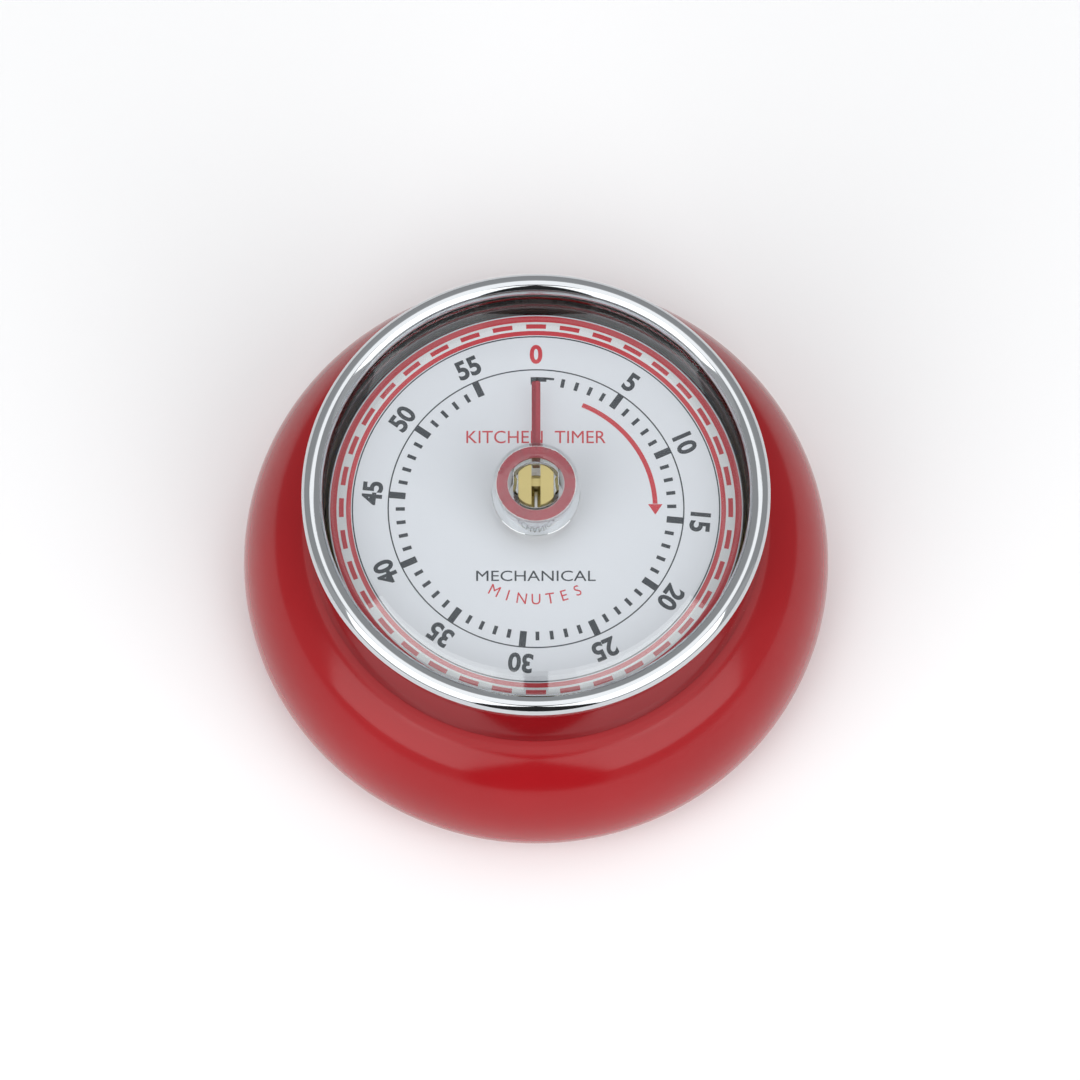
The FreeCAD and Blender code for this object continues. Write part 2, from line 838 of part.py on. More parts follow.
def make_hammer():
    post, head = hammer_spots()
    level, thick, bore = hammer_level(), 0.8, 1.0
    strike = shaft_spots()["strike"]
    tail_way = (strike - post).normalize()
    tail = post + tail_way * ((strike - post).Length - at("strike_radius") - 0.9)
    arm = arm_between(post, head, 1.6, thick).fuse(arm_between(post, tail, 1.2, thick))
    boss = Part.makeCylinder(1.8, 2.4, post)
    rod_low = at("gong_level") + at("gong_wall") + 0.6
    rod = Part.makeCylinder(0.6, level - rod_low + thick, FreeCAD.Vector(head.x, head.y, rod_low - level))
    arm = arm.fuse([boss, rod]).cut(Part.makeCylinder(bore + at("running_gap"), 2.4, post)).removeSplitter()
    feature(arm, "hammer_arm", z=level)
    head_height = 3.4
    ball = Part.makeCylinder(at("hammer_radius"), head_height).cut(Part.makeCylinder(0.6, head_height))
    feature(ball, "hammer_head", head.x, head.y, rod_low)
    low = between_plates().value
    pin = Part.makeCylinder(bore, at("plate_spacing"))
    feature(pin, "hammer_post", post.x, post.y, low)
    coil = Part.makeCylinder(1.7, 2.2).cut(Part.makeCylinder(bore + 0.25, 2.2))
    feature(coil, "hammer_spring", post.x, post.y, level + 2.4)


def make_release():
    """A lever that follows the cam's edge."""
    post = on_circle(release_circle().value, math.radians(at("release_bearing")))
    feeler = on_circle(at("cam_radius") + 0.75, math.radians(feeler_bearing()))
    level, thick, bore = cam_level(), 0.8, at("release_post_radius")
    lever = arm_between(post, feeler, 1.2, thick).fuse(Part.makeCylinder(1.6, thick, post))
    lever = lever.cut(Part.makeCylinder(bore + at("running_gap"), thick, post)).removeSplitter()
    feature(lever, "release_lever", z=level)
    pin = Part.makeCylinder(bore, at("plate_spacing"))
    feature(pin, "release_post", post.x, post.y, between_plates().value)


# Plates, dial, gong and back

def pillar_spots():
    circle = front_plate_radius() - size("pillar_inset")
    return [polar(circle, size("pillar_bearing") + 360 * step / PILLARS) for step in range(PILLARS)]


def cover_screw_spots():
    return [polar(size("screw_circle"), 30 + 360 * step / PILLARS) for step in range(PILLARS)]


def pivot_holes(level):
    """Running holes for the train and balance pivots."""
    gap, thick = size("running_gap"), size("plate_thickness")
    spots = shaft_spots()
    names = ("second", "third", "escape", "balance", "strike")
    return [cylinder(size("pivot_radius") + gap, thick, spots[name].x, spots[name].y, level) for name in names]


def make_plates():
    thick, gap = size("plate_thickness"), size("running_gap")
    low, high = size("rear_plate_level"), front_plate_level()
    arbor = size("arbor_radius")
    holes = pivot_holes(low) + [cylinder(arbor * 0.7 + gap, thick, z=low)]
    holes += [cylinder(size("screw_radius"), thick, x, y, low) for x, y in pillar_spots()]
    holes += [cylinder(size("screw_radius"), thick, x, y, low) for x, y in cover_screw_spots()]
    x, y = polar(size("hammer_circle") - 0.3, size("hammer_bearing"))
    holes.append(cylinder(size("hammer_radius") + 1.2, thick, x, y, low))
    piece(cut(cylinder(size("rear_plate_radius"), thick, z=low), *holes), "rear_plate")
    holes = pivot_holes(high) + [cylinder(arbor + gap, thick, z=high)]
    holes += [cylinder(size("screw_radius"), thick, x, y, high) for x, y in pillar_spots()]
    piece(cut(cylinder(front_plate_radius(), thick, z=high), *holes), "front_plate")


def make_pillars():
    thick, radius, stud = size("plate_thickness"), size("pillar_radius"), size("screw_radius")
    low, high = between_plates(), front_plate_level()
    depth = 4
    pillars, screws = [], []
    for x, y in pillar_spots():
        post = fuse(cylinder(radius, high - low, x, y, low), cylinder(stud, thick, x, y, low - thick))
        pillars.append(cut(post, cylinder(stud, depth, x, y, high - depth)))
        head = cylinder(stud + 0.9, 1, x, y, high + thick)
        slot = box((stud + 0.9) * 2, 0.5, 0.5, x, y, high + thick + 0.5)
        screws.append(fuse(cut(head, slot), cylinder(stud, thick + depth - 0.5, x, y, high - depth + 0.5)))
    piece(group(*pillars), "plate_pillars")
    piece(group(*screws), "plate_screws")


def make_dial():
    thick, level = size("dial_thickness"), size("dial_level")
    low = level - thick
    hole = size("arbor_head_radius") + 0.35
    piece(cut(cylinder(dial_radius(), thick, z=low), cylinder(hole, thick, z=low)), "dial_plate")
    base = front_plate_level() + size("plate_thickness")
    circle = front_plate_radius() - size("foot_inset")
    feet = [cylinder(1.3, low - base, *polar(circle, 20 + 120 * step), base) for step in range(3)]
    piece(group(*feet), "dial_feet")


def make_gong():
    level, radius, wall = size("gong_level"), size("gong_radius"), size("gong_wall")
    height, bend = size("gong_height"), 2
    hole = size("screw_radius")
    corners = [
        (hole, level),
        (radius - bend, level, bend, 1),
        (radius, level + bend),
        (radius, level + height),
        (radius - wall, level + height),
        (radius - wall, level + bend, bend - wall, -1),
        (radius - bend, level + wall),
        (hole, level + wall),
    ]
    piece(turned("GongBody", corners), "gong")
    top = size("rear_plate_level")
    post_low = level + wall
    flange = 0.8
    post = fuse(cylinder(2.4, top - post_low, z=post_low), cylinder(5, flange, z=top - flange))
    bore = 3
    piece(cut(post, cylinder(hole, bore, z=post_low)), "gong_post")
    head = 0.7
    screw = fuse(cylinder(2, head, z=level - head), cylinder(hole, wall + bore - 0.5, z=level))
    piece(screw, "gong_screw")


def make_back_cover():
    thick, radius = size("cover_thickness"), cover_radius()
    plate_level = size("rear_plate_level")
    rim, rim_height, chamfer, post_radius = 1.2, 4.4, 0.5, 2.4
    corners = [
        (0, 0),
        (radius - chamfer, 0),
        (radius, chamfer),
        (radius, rim_height),
        (radius - rim, rim_height),
        (radius - rim, thick),
        (0, thick),
    ]
    plate = turned("CoverBody", corners)
    posts = [cylinder(post_radius, plate_level - thick, x, y, thick) for x, y in cover_screw_spots()]
    fit = size("magnet_thickness") + 0.1
    pocket_radius = size("magnet_radius") + size("fit_gap") * 2
    pockets = [cylinder(pocket_radius, fit, x, y, 0) for x, y in magnet_spots()]
    recess = size("screw_head_height") + 0.4
    for x, y in cover_screw_spots():
        pockets.append(cylinder(size("screw_head_radius") + 0.2, recess, x, y, 0))
        pockets.append(cylinder(size("screw_radius") + 0.1, plate_level, x, y, 0))
    piece(cut(fuse(plate, *posts), *pockets), "back_cover")


def magnet_spots():
    return [polar(size("magnet_circle"), 90 + 360 * step / MAGNETS) for step in range(MAGNETS)]


def make_magnets():
    discs = [cylinder(size("magnet_radius"), size("magnet_thickness"), x, y, 0.1) for x, y in magnet_spots()]
    piece(group(*discs), "magnets")


def make_cover_screws():
    head, radius, lift = size("screw_head_height"), size("screw_radius"), 0.4
    top = size("rear_plate_level") + size("plate_thickness")
    screws = []
    for x, y in cover_screw_spots():
        cap = cylinder(size("screw_head_radius"), head, x, y, lift)
        cross = group(box(2.4, 0.5, 0.6, x, y, lift), box(0.5, 2.4, 0.6, x, y, lift))
        screws.append(fuse(cut(cap, fuse(*cross.Links)), cylinder(radius, top - lift - head, x, y, lift + head)))
    piece(group(*screws), "cover_screws")


def check_and_export():
    doc.recompute()
    for thing in doc.Objects:
        if "Invalid" in thing.State or "Error" in thing.State:
            raise RuntimeError(f"{thing.Label} failed: {thing.State}")
    os.makedirs("parts", exist_ok=True)
    for thing in pieces:
        if thing.Shape.isNull() or not thing.Shape.isValid():
            raise RuntimeError(f"{thing.Label} has no valid shape")
    for thing in pieces:
        thing.Shape.exportStep(os.path.join("parts", f"{thing.Label}.step"))
        print(thing.Label, "solids", len(thing.Shape.Solids), "volume", round(thing.Shape.Volume, 2))


fill_sheet()
make_shell()
make_bezel()
make_lens()
make_pointer()
make_sleeve()
make_arbor()
make_arbor_key()
make_train()
make_clutch()
make_cam()
make_mainspring()
make_spring_post()
make_balance()
make_hammer()
make_release()
make_plates()
make_pillars()
make_dial()
make_gong()
make_back_cover()
make_magnets()
make_cover_screws()
check_and_export()
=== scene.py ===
import math
import bpy
import bmesh
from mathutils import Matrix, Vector


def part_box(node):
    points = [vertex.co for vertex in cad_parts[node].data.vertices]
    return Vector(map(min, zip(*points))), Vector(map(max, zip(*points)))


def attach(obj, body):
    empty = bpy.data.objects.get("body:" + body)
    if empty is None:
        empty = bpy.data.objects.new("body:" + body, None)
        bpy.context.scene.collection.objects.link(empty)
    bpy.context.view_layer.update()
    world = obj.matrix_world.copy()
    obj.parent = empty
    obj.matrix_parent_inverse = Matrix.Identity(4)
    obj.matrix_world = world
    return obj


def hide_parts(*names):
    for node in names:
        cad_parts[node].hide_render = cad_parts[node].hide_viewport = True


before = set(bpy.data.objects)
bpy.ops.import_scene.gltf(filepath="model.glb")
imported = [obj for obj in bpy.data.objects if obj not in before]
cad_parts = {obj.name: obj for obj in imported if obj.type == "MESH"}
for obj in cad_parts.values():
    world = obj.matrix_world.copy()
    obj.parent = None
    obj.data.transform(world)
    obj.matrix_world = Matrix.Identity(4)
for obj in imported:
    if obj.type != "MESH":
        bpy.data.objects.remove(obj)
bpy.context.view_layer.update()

mm = 0.001
print("kitchen timer: frame loaded")

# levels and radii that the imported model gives
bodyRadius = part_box("shell")[1].x
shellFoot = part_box("shell")[0].z
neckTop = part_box("shell")[1].z
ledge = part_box("bezel")[0].z
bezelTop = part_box("bezel")[1].z
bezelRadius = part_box("bezel")[1].x
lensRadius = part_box("lens")[1].x
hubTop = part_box("lens")[1].z
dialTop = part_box("dial_plate")[1].z
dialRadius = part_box("dial_plate")[1].x
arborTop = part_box("arbor")[1].z


def deselectAll():
    if bpy.context.mode != "OBJECT":
        bpy.ops.object.mode_set(mode="OBJECT")
    bpy.ops.object.select_all(action="DESELECT")


def pick(piece):
    deselectAll()
    piece.select_set(True)
    bpy.context.view_layer.objects.active = piece


def startEdit(piece):
    pick(piece)
    bpy.ops.object.mode_set(mode="EDIT")
    bpy.ops.mesh.select_all(action="DESELECT")


def selectVerts(piece, test):
    # vertices by place, in edit mode; faces and edges between them are selected too
    bpy.ops.mesh.select_mode(type="VERT")
    bpy.ops.mesh.select_all(action="DESELECT")
    mesh = bmesh.from_edit_mesh(piece.data)
    for vert in mesh.verts:
        if test(vert.co):
            vert.select = True
    mesh.select_flush(True)
    bmesh.update_edit_mesh(piece.data)


def settle(piece, name, angle=30):
    # place in the mesh, smooth except at real corners
    pick(piece)
    bpy.ops.object.transform_apply(location=True, rotation=True, scale=True)
    bpy.ops.object.shade_smooth_by_angle(angle=math.radians(angle))
    piece.name = name
    piece.data.name = name
    return piece


def arcPoints(centre, radius, start, end, count):
    angles = [math.radians(start + (end - start) * i / count) for i in range(count + 1)]
    return [(centre[0] + radius * math.cos(a), centre[1] + radius * math.sin(a)) for a in angles]


def turnPiece(name, outline, ring=True, segments=160, angle=30):
    # a circle drawn along an (r, z) outline by extruding and scaling; ring joins the last loop to the first
    deselectAll()
    r, z = outline[0]
    bpy.ops.mesh.primitive_circle_add(vertices=segments, radius=r, fill_type="NOTHING", location=(0, 0, z))
    piece = bpy.context.object
    bpy.ops.object.mode_set(mode="EDIT")
    bpy.ops.mesh.select_mode(type="VERT")
    bpy.ops.mesh.select_all(action="SELECT")
    for nextR, nextZ in outline[1:] + (outline[:1] if ring else []):
        bpy.ops.mesh.extrude_region_move(TRANSFORM_OT_translate={"value": (0, 0, nextZ - z)})
        bpy.ops.transform.resize(value=(nextR / r, nextR / r, 1), center_override=(0, 0, nextZ))
        r, z = max(nextR, 1e-7), nextZ
    bpy.ops.mesh.select_all(action="SELECT")
    bpy.ops.mesh.remove_doubles(threshold=2e-7)
    if not ring:
        bpy.ops.mesh.fill_holes(sides=0)
    bpy.ops.mesh.select_all(action="SELECT")
    bpy.ops.mesh.normals_make_consistent(inside=False)
    bpy.ops.object.mode_set(mode="OBJECT")
    return settle(piece, name, angle)


def blockPiece(size, centre, name, bevel=0.0):
    deselectAll()
    bpy.ops.mesh.primitive_cube_add(size=1, location=centre)
    piece = bpy.context.object
    piece.scale = size
    bpy.ops.object.transform_apply(location=True, rotation=True, scale=True)
    if bevel:
        startEdit(piece)
        bpy.ops.mesh.select_all(action="SELECT")
        bpy.ops.mesh.bevel(offset=bevel, segments=2, affect="EDGES")
        bpy.ops.object.mode_set(mode="OBJECT")
    return settle(piece, name)


def joinPieces(pieces, name):
    pick(pieces[0])
    for piece in pieces:
        piece.select_set(True)
    bpy.ops.object.join()
    return settle(bpy.context.object, name)


def trimFlats(piece, half, low, high, inside):
    # squeeze a round wall onto two flat planes at x = half and -half
    startEdit(piece)
    for side in (1, -1):
        selectVerts(piece, lambda co: side * co.x > half and low <= co.z <= high
                    and inside(math.hypot(co.x, co.y)))
        bpy.ops.transform.resize(value=(0, 1, 1), center_override=(side * half, 0, 0))
    bpy.ops.object.mode_set(mode="OBJECT")


class Wire:
    # a shader socket that can be used in sums
    def __init__(self, paint, socket):
        self.paint = paint
        self.socket = socket

    def maths(self, operation, first, second=None, third=None):
        values = {0: first}
        if second is not None:
            values[1] = second
        if third is not None:
            values[2] = third
        return self.paint.add("ShaderNodeMath", {"operation": operation}, values)

    def __add__(self, other): return self.maths("ADD", self, other)
    def __radd__(self, other): return self.maths("ADD", other, self)
    def __sub__(self, other): return self.maths("SUBTRACT", self, other)
    def __rsub__(self, other): return self.maths("SUBTRACT", other, self)
    def __mul__(self, other): return self.maths("MULTIPLY", self, other)
    def __rmul__(self, other): return self.maths("MULTIPLY", other, self)
    def __gt__(self, other): return self.maths("GREATER_THAN", self, other)
    def __lt__(self, other): return self.maths("LESS_THAN", self, other)
    def __abs__(self): return self.maths("ABSOLUTE", self)


class Paint:
    # one node tree: a material's, or the surroundings'
    def __init__(self, tree):
        self.tree = tree
        tree.nodes.clear()

    def add(self, kind, settings=None, inputs=None, out=0):
        node = self.tree.nodes.new(kind)
        for key, value in (settings or {}).items():
            if key == "stops":
                ramp = node.color_ramp.elements
                while len(ramp) < len(value):
                    ramp.new(0.5)
                for element, (place, tone) in zip(ramp, value):
                    element.position = place
                    element.color = (tone, tone, tone, 1) if isinstance(tone, (int, float)) else (*tone, 1)
            else:
                setattr(node, key, value)
        for key, value in (inputs or {}).items():
            if isinstance(value, Wire):
                self.tree.links.new(value.socket, node.inputs[key])
            else:
                node.inputs[key].default_value = value
        return Wire(self, node.outputs[out])

    def place(self, scale=(1, 1, 1)):
        coords = self.add("ShaderNodeTexCoord", out="Object")
        return self.add("ShaderNodeMapping", inputs={"Vector": coords, "Scale": scale})

    def grain(self, scale, detail=3.0, stretch=(1, 1, 1), roughness=0.5):
        return self.add("ShaderNodeTexNoise", inputs={"Vector": self.place(stretch), "Scale": scale,
                                                      "Detail": detail, "Roughness": roughness})

    def ramp(self, value, stops):
        return self.add("ShaderNodeValToRGB", {"stops": stops}, {"Fac": value})

    def mix(self, factor, first, second):
        return self.add("ShaderNodeMix", {"data_type": "RGBA"}, {0: factor, 6: first, 7: second}, out=2)

    def bump(self, height, strength, distance):
        return self.add("ShaderNodeBump", inputs={"Height": height, "Strength": strength, "Distance": distance})

    def parts(self):
        # x, y, z and the distance from the axis, in metres
        split = self.add("ShaderNodeSeparateXYZ", inputs={"Vector": self.add("ShaderNodeTexCoord", out="Object")})
        node = split.socket.node
        x, y, z = (Wire(self, node.outputs[i]) for i in range(3))
        radius = x.maths("SQRT", x * x + y * y)
        return x, y, z, radius


def newMaterial(name):
    material = bpy.data.materials.new(name)
    material.use_nodes = True
    return material, Paint(material.node_tree)


def finishSurface(paint, surface):
    output = paint.tree.nodes.new("ShaderNodeOutputMaterial")
    paint.tree.links.new(surface.socket, output.inputs["Surface"])


def tone(colour):
    return (*colour, 1.0)


enamelLook = {"red": (0.36, 0.010, 0.014), "deep": (0.29, 0.007, 0.010), "roughness": 0.13, "peel": 0.05}


def enamelMaterial():
    material, paint = newMaterial("redEnamel")
    drift = paint.grain(60, 2)
    peel = paint.grain(900, 2)
    dust = paint.ramp(paint.grain(2600, 2), [(0.0, 0.0), (0.70, 0.0), (0.78, 1.0)])
    colour = paint.mix(drift, tone(enamelLook["deep"]), tone(enamelLook["red"]))
    rough = enamelLook["roughness"] + peel * 0.05 + dust * 0.10
    surface = paint.add("ShaderNodeBsdfPrincipled", inputs={
        "Base Color": colour, "Roughness": rough, "IOR": 1.38, "Coat Weight": 0.0,
        "Normal": paint.bump(peel, enamelLook["peel"], 0.00004)})
    finishSurface(paint, surface)
    return material


chromeLook = {"tint": (0.58, 0.60, 0.62), "roughness": 0.045}


def chromeMaterial():
    material, paint = newMaterial("brightChrome")
    smudge = paint.ramp(paint.grain(140, 4), [(0.35, 0.0), (0.75, 1.0)])
    speck = paint.ramp(paint.grain(3500, 1), [(0.72, 0.0), (0.80, 1.0)])
    rough = chromeLook["roughness"] + smudge * 0.035 + speck * 0.12
    surface = paint.add("ShaderNodeBsdfPrincipled", inputs={
        "Base Color": tone(chromeLook["tint"]), "Metallic": 1.0, "Roughness": rough,
        "Normal": paint.bump(smudge, 0.02, 0.00003)})
    finishSurface(paint, surface)
    return material


paneLook = {"tint": (0.985, 0.99, 0.99), "roughness": 0.02, "haze": 0.008, "bevel": 23.4 * mm, "slope": 0.45,
            "flatGloss": 0.016, "bevelGloss": 0.052, "hubGloss": 0.034, "hub": 5.6 * mm,
            "wallGloss": 0.42, "wall": 4.9 * mm, "wallBand": (33.0 * mm, 36.9 * mm)}


def paneMaterial():
    # light goes straight through, with a surface gloss over it; beyond a radius the gloss leans as on a bevel
    material, paint = newMaterial("clearPane")
    smear = paint.ramp(paint.grain(120, 3), [(0.4, 0.0), (0.8, 1.0)])
    x, y, z, radius = paint.parts()
    past = (radius - paneLook["bevel"]).maths("MAXIMUM", radius - paneLook["bevel"], 0.0)
    lean = paint.bump(past * -paneLook["slope"], 1.0, 1.0)
    gloss = paint.add("ShaderNodeBsdfPrincipled", inputs={
        "Base Color": tone((0.9, 0.92, 0.93)), "Roughness": paneLook["roughness"] + smear * 0.03, "Metallic": 1.0,
        "Normal": lean})
    clear = paint.add("ShaderNodeBsdfTransparent", inputs={"Color": tone(paneLook["tint"])})
    rim = (radius > paneLook["bevel"]) * paneLook["bevelGloss"]
    hub = (radius < paneLook["hub"]) * paneLook["hubGloss"]
    aside = paint.add("ShaderNodeLayerWeight", inputs={"Blend": 0.5}, out=1)
    low, high = paneLook["wallBand"]
    wall = (radius > paneLook["wall"]) * (z > low) * (z < high) * (radius < paneLook["hub"])
    wall = wall * paneLook["wallGloss"]
    facing = paneLook["flatGloss"] + rim + hub + wall + aside.maths("POWER", aside, 5.0)
    share = facing + paneLook["haze"] * smear
    finishSurface(paint, paint.add("ShaderNodeMixShader", inputs={0: share, 1: clear, 2: gloss}))
    return material


def clearMaterial():
    # the thick parts of the lens bend what is behind them
    material, paint = newMaterial("clearPlastic")
    flow = paint.grain(300, 2)
    surface = paint.add("ShaderNodeBsdfPrincipled", inputs={
        "Base Color": tone((0.96, 0.98, 0.975)), "Roughness": 0.02 + flow * 0.02, "IOR": 1.49,
        "Transmission Weight": 1.0, "Normal": paint.bump(flow, 0.04, 0.00004)})
    finishSurface(paint, surface)
    return material


def plainPaint(name, colour, roughness, coat=0.0, scale=900, bump=0.05, vary=0.08):
    # a paint, ink or moulding with fine grain and slight drift in its colour
    material, paint = newMaterial(name)
    fine = paint.grain(scale, 3)
    drift = paint.grain(90, 2)
    other = tuple(c * (1 - vary) for c in colour)
    surface = paint.add("ShaderNodeBsdfPrincipled", inputs={
        "Base Color": paint.mix(drift, tone(colour), tone(other)),
        "Roughness": roughness - 0.04 + fine * 0.08, "Coat Weight": coat, "Coat Roughness": 0.1,
        "Normal": paint.bump(fine, bump, 0.00003)})
    finishSurface(paint, surface)
    return material


def metalMaterial(name, colour, roughness, direction="turned", scale=2200, strength=0.12):
    # turned: rings about the object's axis; drawn: lines along Y; milled: lines along X
    material, paint = newMaterial(name)
    x, y, z, radius = paint.parts()
    if direction == "turned":
        along = paint.add("ShaderNodeCombineXYZ", inputs={"X": radius * scale, "Y": z * scale})
        lines = paint.add("ShaderNodeTexNoise", inputs={"Vector": along, "Scale": 1.0, "Detail": 2.0})
    else:
        stretch = (1, 0.04, 1) if direction == "drawn" else (0.04, 1, 1)
        lines = paint.grain(scale, 2, stretch)
    blotch = paint.grain(160, 3)
    dull = tuple(c * 0.82 for c in colour)
    surface = paint.add("ShaderNodeBsdfPrincipled", inputs={
        "Base Color": paint.mix(blotch, tone(colour), tone(dull)), "Metallic": 1.0,
        "Roughness": roughness - 0.05 + lines * 0.10 + blotch * 0.04,
        "Normal": paint.bump(lines, strength, 0.00003)})
    finishSurface(paint, surface)
    return material


materials = {
    "enamel": enamelMaterial(),
    "chrome": chromeMaterial(),
    "pane": paneMaterial(),
    "clear": clearMaterial(),
    "dial": plainPaint("dialPaint", (0.69, 0.71, 0.755), 0.42, coat=0.1, scale=1600, bump=0.02, vary=0.02),
    "dark": plainPaint("slateInk", (0.022, 0.030, 0.042), 0.5, vary=0.2),
    "red": plainPaint("redInk", (0.56, 0.030, 0.045), 0.5, vary=0.1),
    "white": plainPaint("whiteInk", (0.74, 0.75, 0.77), 0.4, vary=0.03),
    "pointer": plainPaint("pointerRed", (0.36, 0.035, 0.055), 0.35, coat=0.2),
    "sleeve": plainPaint("sleeveBrown", (0.035, 0.028, 0.026), 0.22, coat=0.5, scale=600),
    "brassTurned": metalMaterial("turnedBrass", (0.72, 0.60, 0.33), 0.32),
    "brassFace": metalMaterial("filedBrass", (0.66, 0.56, 0.26), 0.38, "milled", 2600, 0.25),
    "brassPlate": metalMaterial("rolledBrass", (0.70, 0.56, 0.28), 0.30, "drawn"),
    "steel": metalMaterial("turnedSteel", (0.52, 0.53, 0.55), 0.30),
    "spring": metalMaterial("springSteel", (0.20, 0.22, 0.27), 0.28, "drawn"),
    "gong": metalMaterial("polishedGong", (0.62, 0.62, 0.62), 0.16),
    "cover": plainPaint("mouldedBlack", (0.022, 0.022, 0.023), 0.5, scale=2400, bump=0.35),
    "magnet": plainPaint("ferriteGrey", (0.045, 0.045, 0.048), 0.62, scale=3200, bump=0.3, vary=0.3),
}
print("kitchen timer: materials made")


def coat(piece, *names):
    piece.data.materials.clear()
    for name in names:
        piece.data.materials.append(materials[name])


def place(piece, body, slot, *nodes):
    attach(piece, body)
    if nodes:
        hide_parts(*nodes)
    return piece


shellLook = {"equator": 8.2 * mm, "lower": 11 * mm, "upper": 17 * mm, "sweep": 40, "shoulder": 7 * mm, "top": 80,
             "wall": 0.7 * mm, "neck": 28.15 * mm, "hem": 0.25 * mm}


def makeShell():
    look = shellLook
    lowCentre = (bodyRadius - look["lower"], look["equator"])
    highCentre = (bodyRadius - look["upper"], look["equator"])
    foot = math.degrees(math.asin((shellFoot - look["equator"]) / look["lower"]))
    sweep = math.radians(look["sweep"])
    step = look["upper"] - look["shoulder"]
    shoulderCentre = (highCentre[0] + step * math.cos(sweep), highCentre[1] + step * math.sin(sweep))
    wall, hem = look["wall"], look["hem"]
    under = shoulderCentre[1] + (look["shoulder"] - wall) * math.sin(math.radians(look["top"]))
    outline = arcPoints(lowCentre, look["lower"], foot + 1.3, 0, 14)
    outline += arcPoints(highCentre, look["upper"], 0, look["sweep"], 16)[1:]
    outline += arcPoints(shoulderCentre, look["shoulder"], look["sweep"], look["top"], 12)[1:]
    outline += [(look["neck"], ledge), (look["neck"], neckTop), (look["neck"] - wall, neckTop)]
    outline += [(look["neck"] - wall, under)]
    outline += arcPoints(shoulderCentre, look["shoulder"] - wall, look["top"], look["sweep"], 6)
    outline += arcPoints(highCentre, look["upper"] - wall, look["sweep"], 0, 8)[1:]
    inner = math.degrees(math.asin((shellFoot - look["equator"]) / (look["lower"] - wall)))
    outline += arcPoints(lowCentre, look["lower"] - wall, 0, inner + 1.3, 8)[1:]
    last, first = outline[-1], outline[0]
    outline += [(last[0] + 0.05 * mm, shellFoot + 0.03 * mm), (last[0] + hem, shellFoot),
                (first[0] - hem, shellFoot), (first[0] - 0.06 * mm, shellFoot + 0.03 * mm)]
    shell = turnPiece("shellSkin", outline, segments=192)
    coat(shell, "enamel")
    return place(shell, "cap", "enamel", "shell")


bezelLook = {"foot": 0.6 * mm, "outer": 1.3 * mm, "inner": 1.3 * mm, "seat": 31.5 * mm, "seatRadius": 27.1 * mm,
             "neck": 28.2 * mm}


def makeBezel():
    look = bezelLook
    crest = bezelRadius - look["outer"]
    outline = [(look["neck"], ledge), (look["neck"] + look["foot"] - 0.1 * mm, ledge),
               (look["neck"] + look["foot"], ledge + 0.1 * mm)]
    rise = bezelTop - look["outer"] - ledge
    for i in range(1, 7):
        outline.append((look["neck"] + look["foot"] + (bezelRadius - look["neck"] - look["foot"]) * (i / 7) ** 1.3,
                        ledge + rise * i / 7))
    outline += arcPoints((crest, bezelTop - look["outer"]), look["outer"], 0, 90, 14)
    outline += arcPoints((crest, bezelTop - look["inner"]), look["inner"], 90, 184, 14)[1:]
    outline += [(look["seatRadius"], look["seat"]), (look["neck"], look["seat"])]
    bezel = turnPiece("bezelRing", outline, segments=192)
    coat(bezel, "chrome")
    return place(bezel, "cap", "chrome", "bezel")


lensLook = {"top": 32.9 * mm, "under": 31.1 * mm, "seat": 31.5 * mm, "flange": 0.9 * mm, "seatRadius": 27.1 * mm,
            "land": 0.7 * mm, "hub": 5.5 * mm, "hubWall": 0.5 * mm, "roof": 0.5 * mm, "draft": 0.2 * mm,
            "edge": 0.3 * mm, "bore": 2.88 * mm, "mouth": 3.35 * mm, "boss": 3.5 * mm, "boreFlat": 2.23 * mm,
            "mouthFlat": 2.75 * mm}


def makeLens():
    look = lensLook
    bottom = look["seat"] - look["flange"]
    window = look["seatRadius"] - 1.2 * mm
    roofLow = hubTop - look["roof"]
    mouthLow = arborTop - 0.8 * mm
    hubIn = look["hub"] - look["hubWall"]
    outline = [(look["bore"], look["under"] + 0.2 * mm), (look["boss"], look["under"] + 0.2 * mm),
               (look["boss"], roofLow), (hubIn, roofLow), (hubIn, look["under"]), (window, look["under"]),
               (window + 0.2 * mm, bottom), (lensRadius, bottom), (lensRadius, look["seat"]),
               (look["seatRadius"] - 0.03 * mm, look["seat"]), (look["seatRadius"] - look["land"], look["top"]),
               (look["hub"] + 0.15 * mm, look["top"]), (look["hub"], look["top"] + 0.15 * mm)]
    edge = look["edge"]
    outline += arcPoints((look["hub"] - look["draft"] - edge, hubTop - edge), edge, 0, 90, 5)
    outline += [(look["mouth"] + 0.12 * mm, hubTop), (look["mouth"], hubTop - 0.12 * mm),
                (look["mouth"], mouthLow), (look["bore"], mouthLow)]
    lens = turnPiece("lensClear", outline, segments=192)
    trimFlats(lens, look["mouthFlat"], mouthLow - 0.01 * mm, hubTop + 0.01 * mm, lambda r: 3.0 * mm < r < 3.4 * mm)
    trimFlats(lens, look["mouthFlat"] + 0.12 * mm, hubTop - 0.01 * mm, hubTop + 0.01 * mm,
              lambda r: 3.4 * mm < r < 3.5 * mm)
    trimFlats(lens, look["boreFlat"], look["under"], mouthLow + 0.01 * mm, lambda r: r < 2.95 * mm)
    coat(lens, "clear", "pane")
    for face in lens.data.polygons:
        if math.hypot(face.center.x, face.center.y) > look["boss"] + 0.05 * mm:
            face.material_index = 1
    return place(lens, "cap", "lens_clear", "lens")


pointerLook = {"width": 1.1 * mm, "thick": 0.25 * mm, "reach": 15.9 * mm, "skirt": 2.5 * mm, "gap": 0.05 * mm}


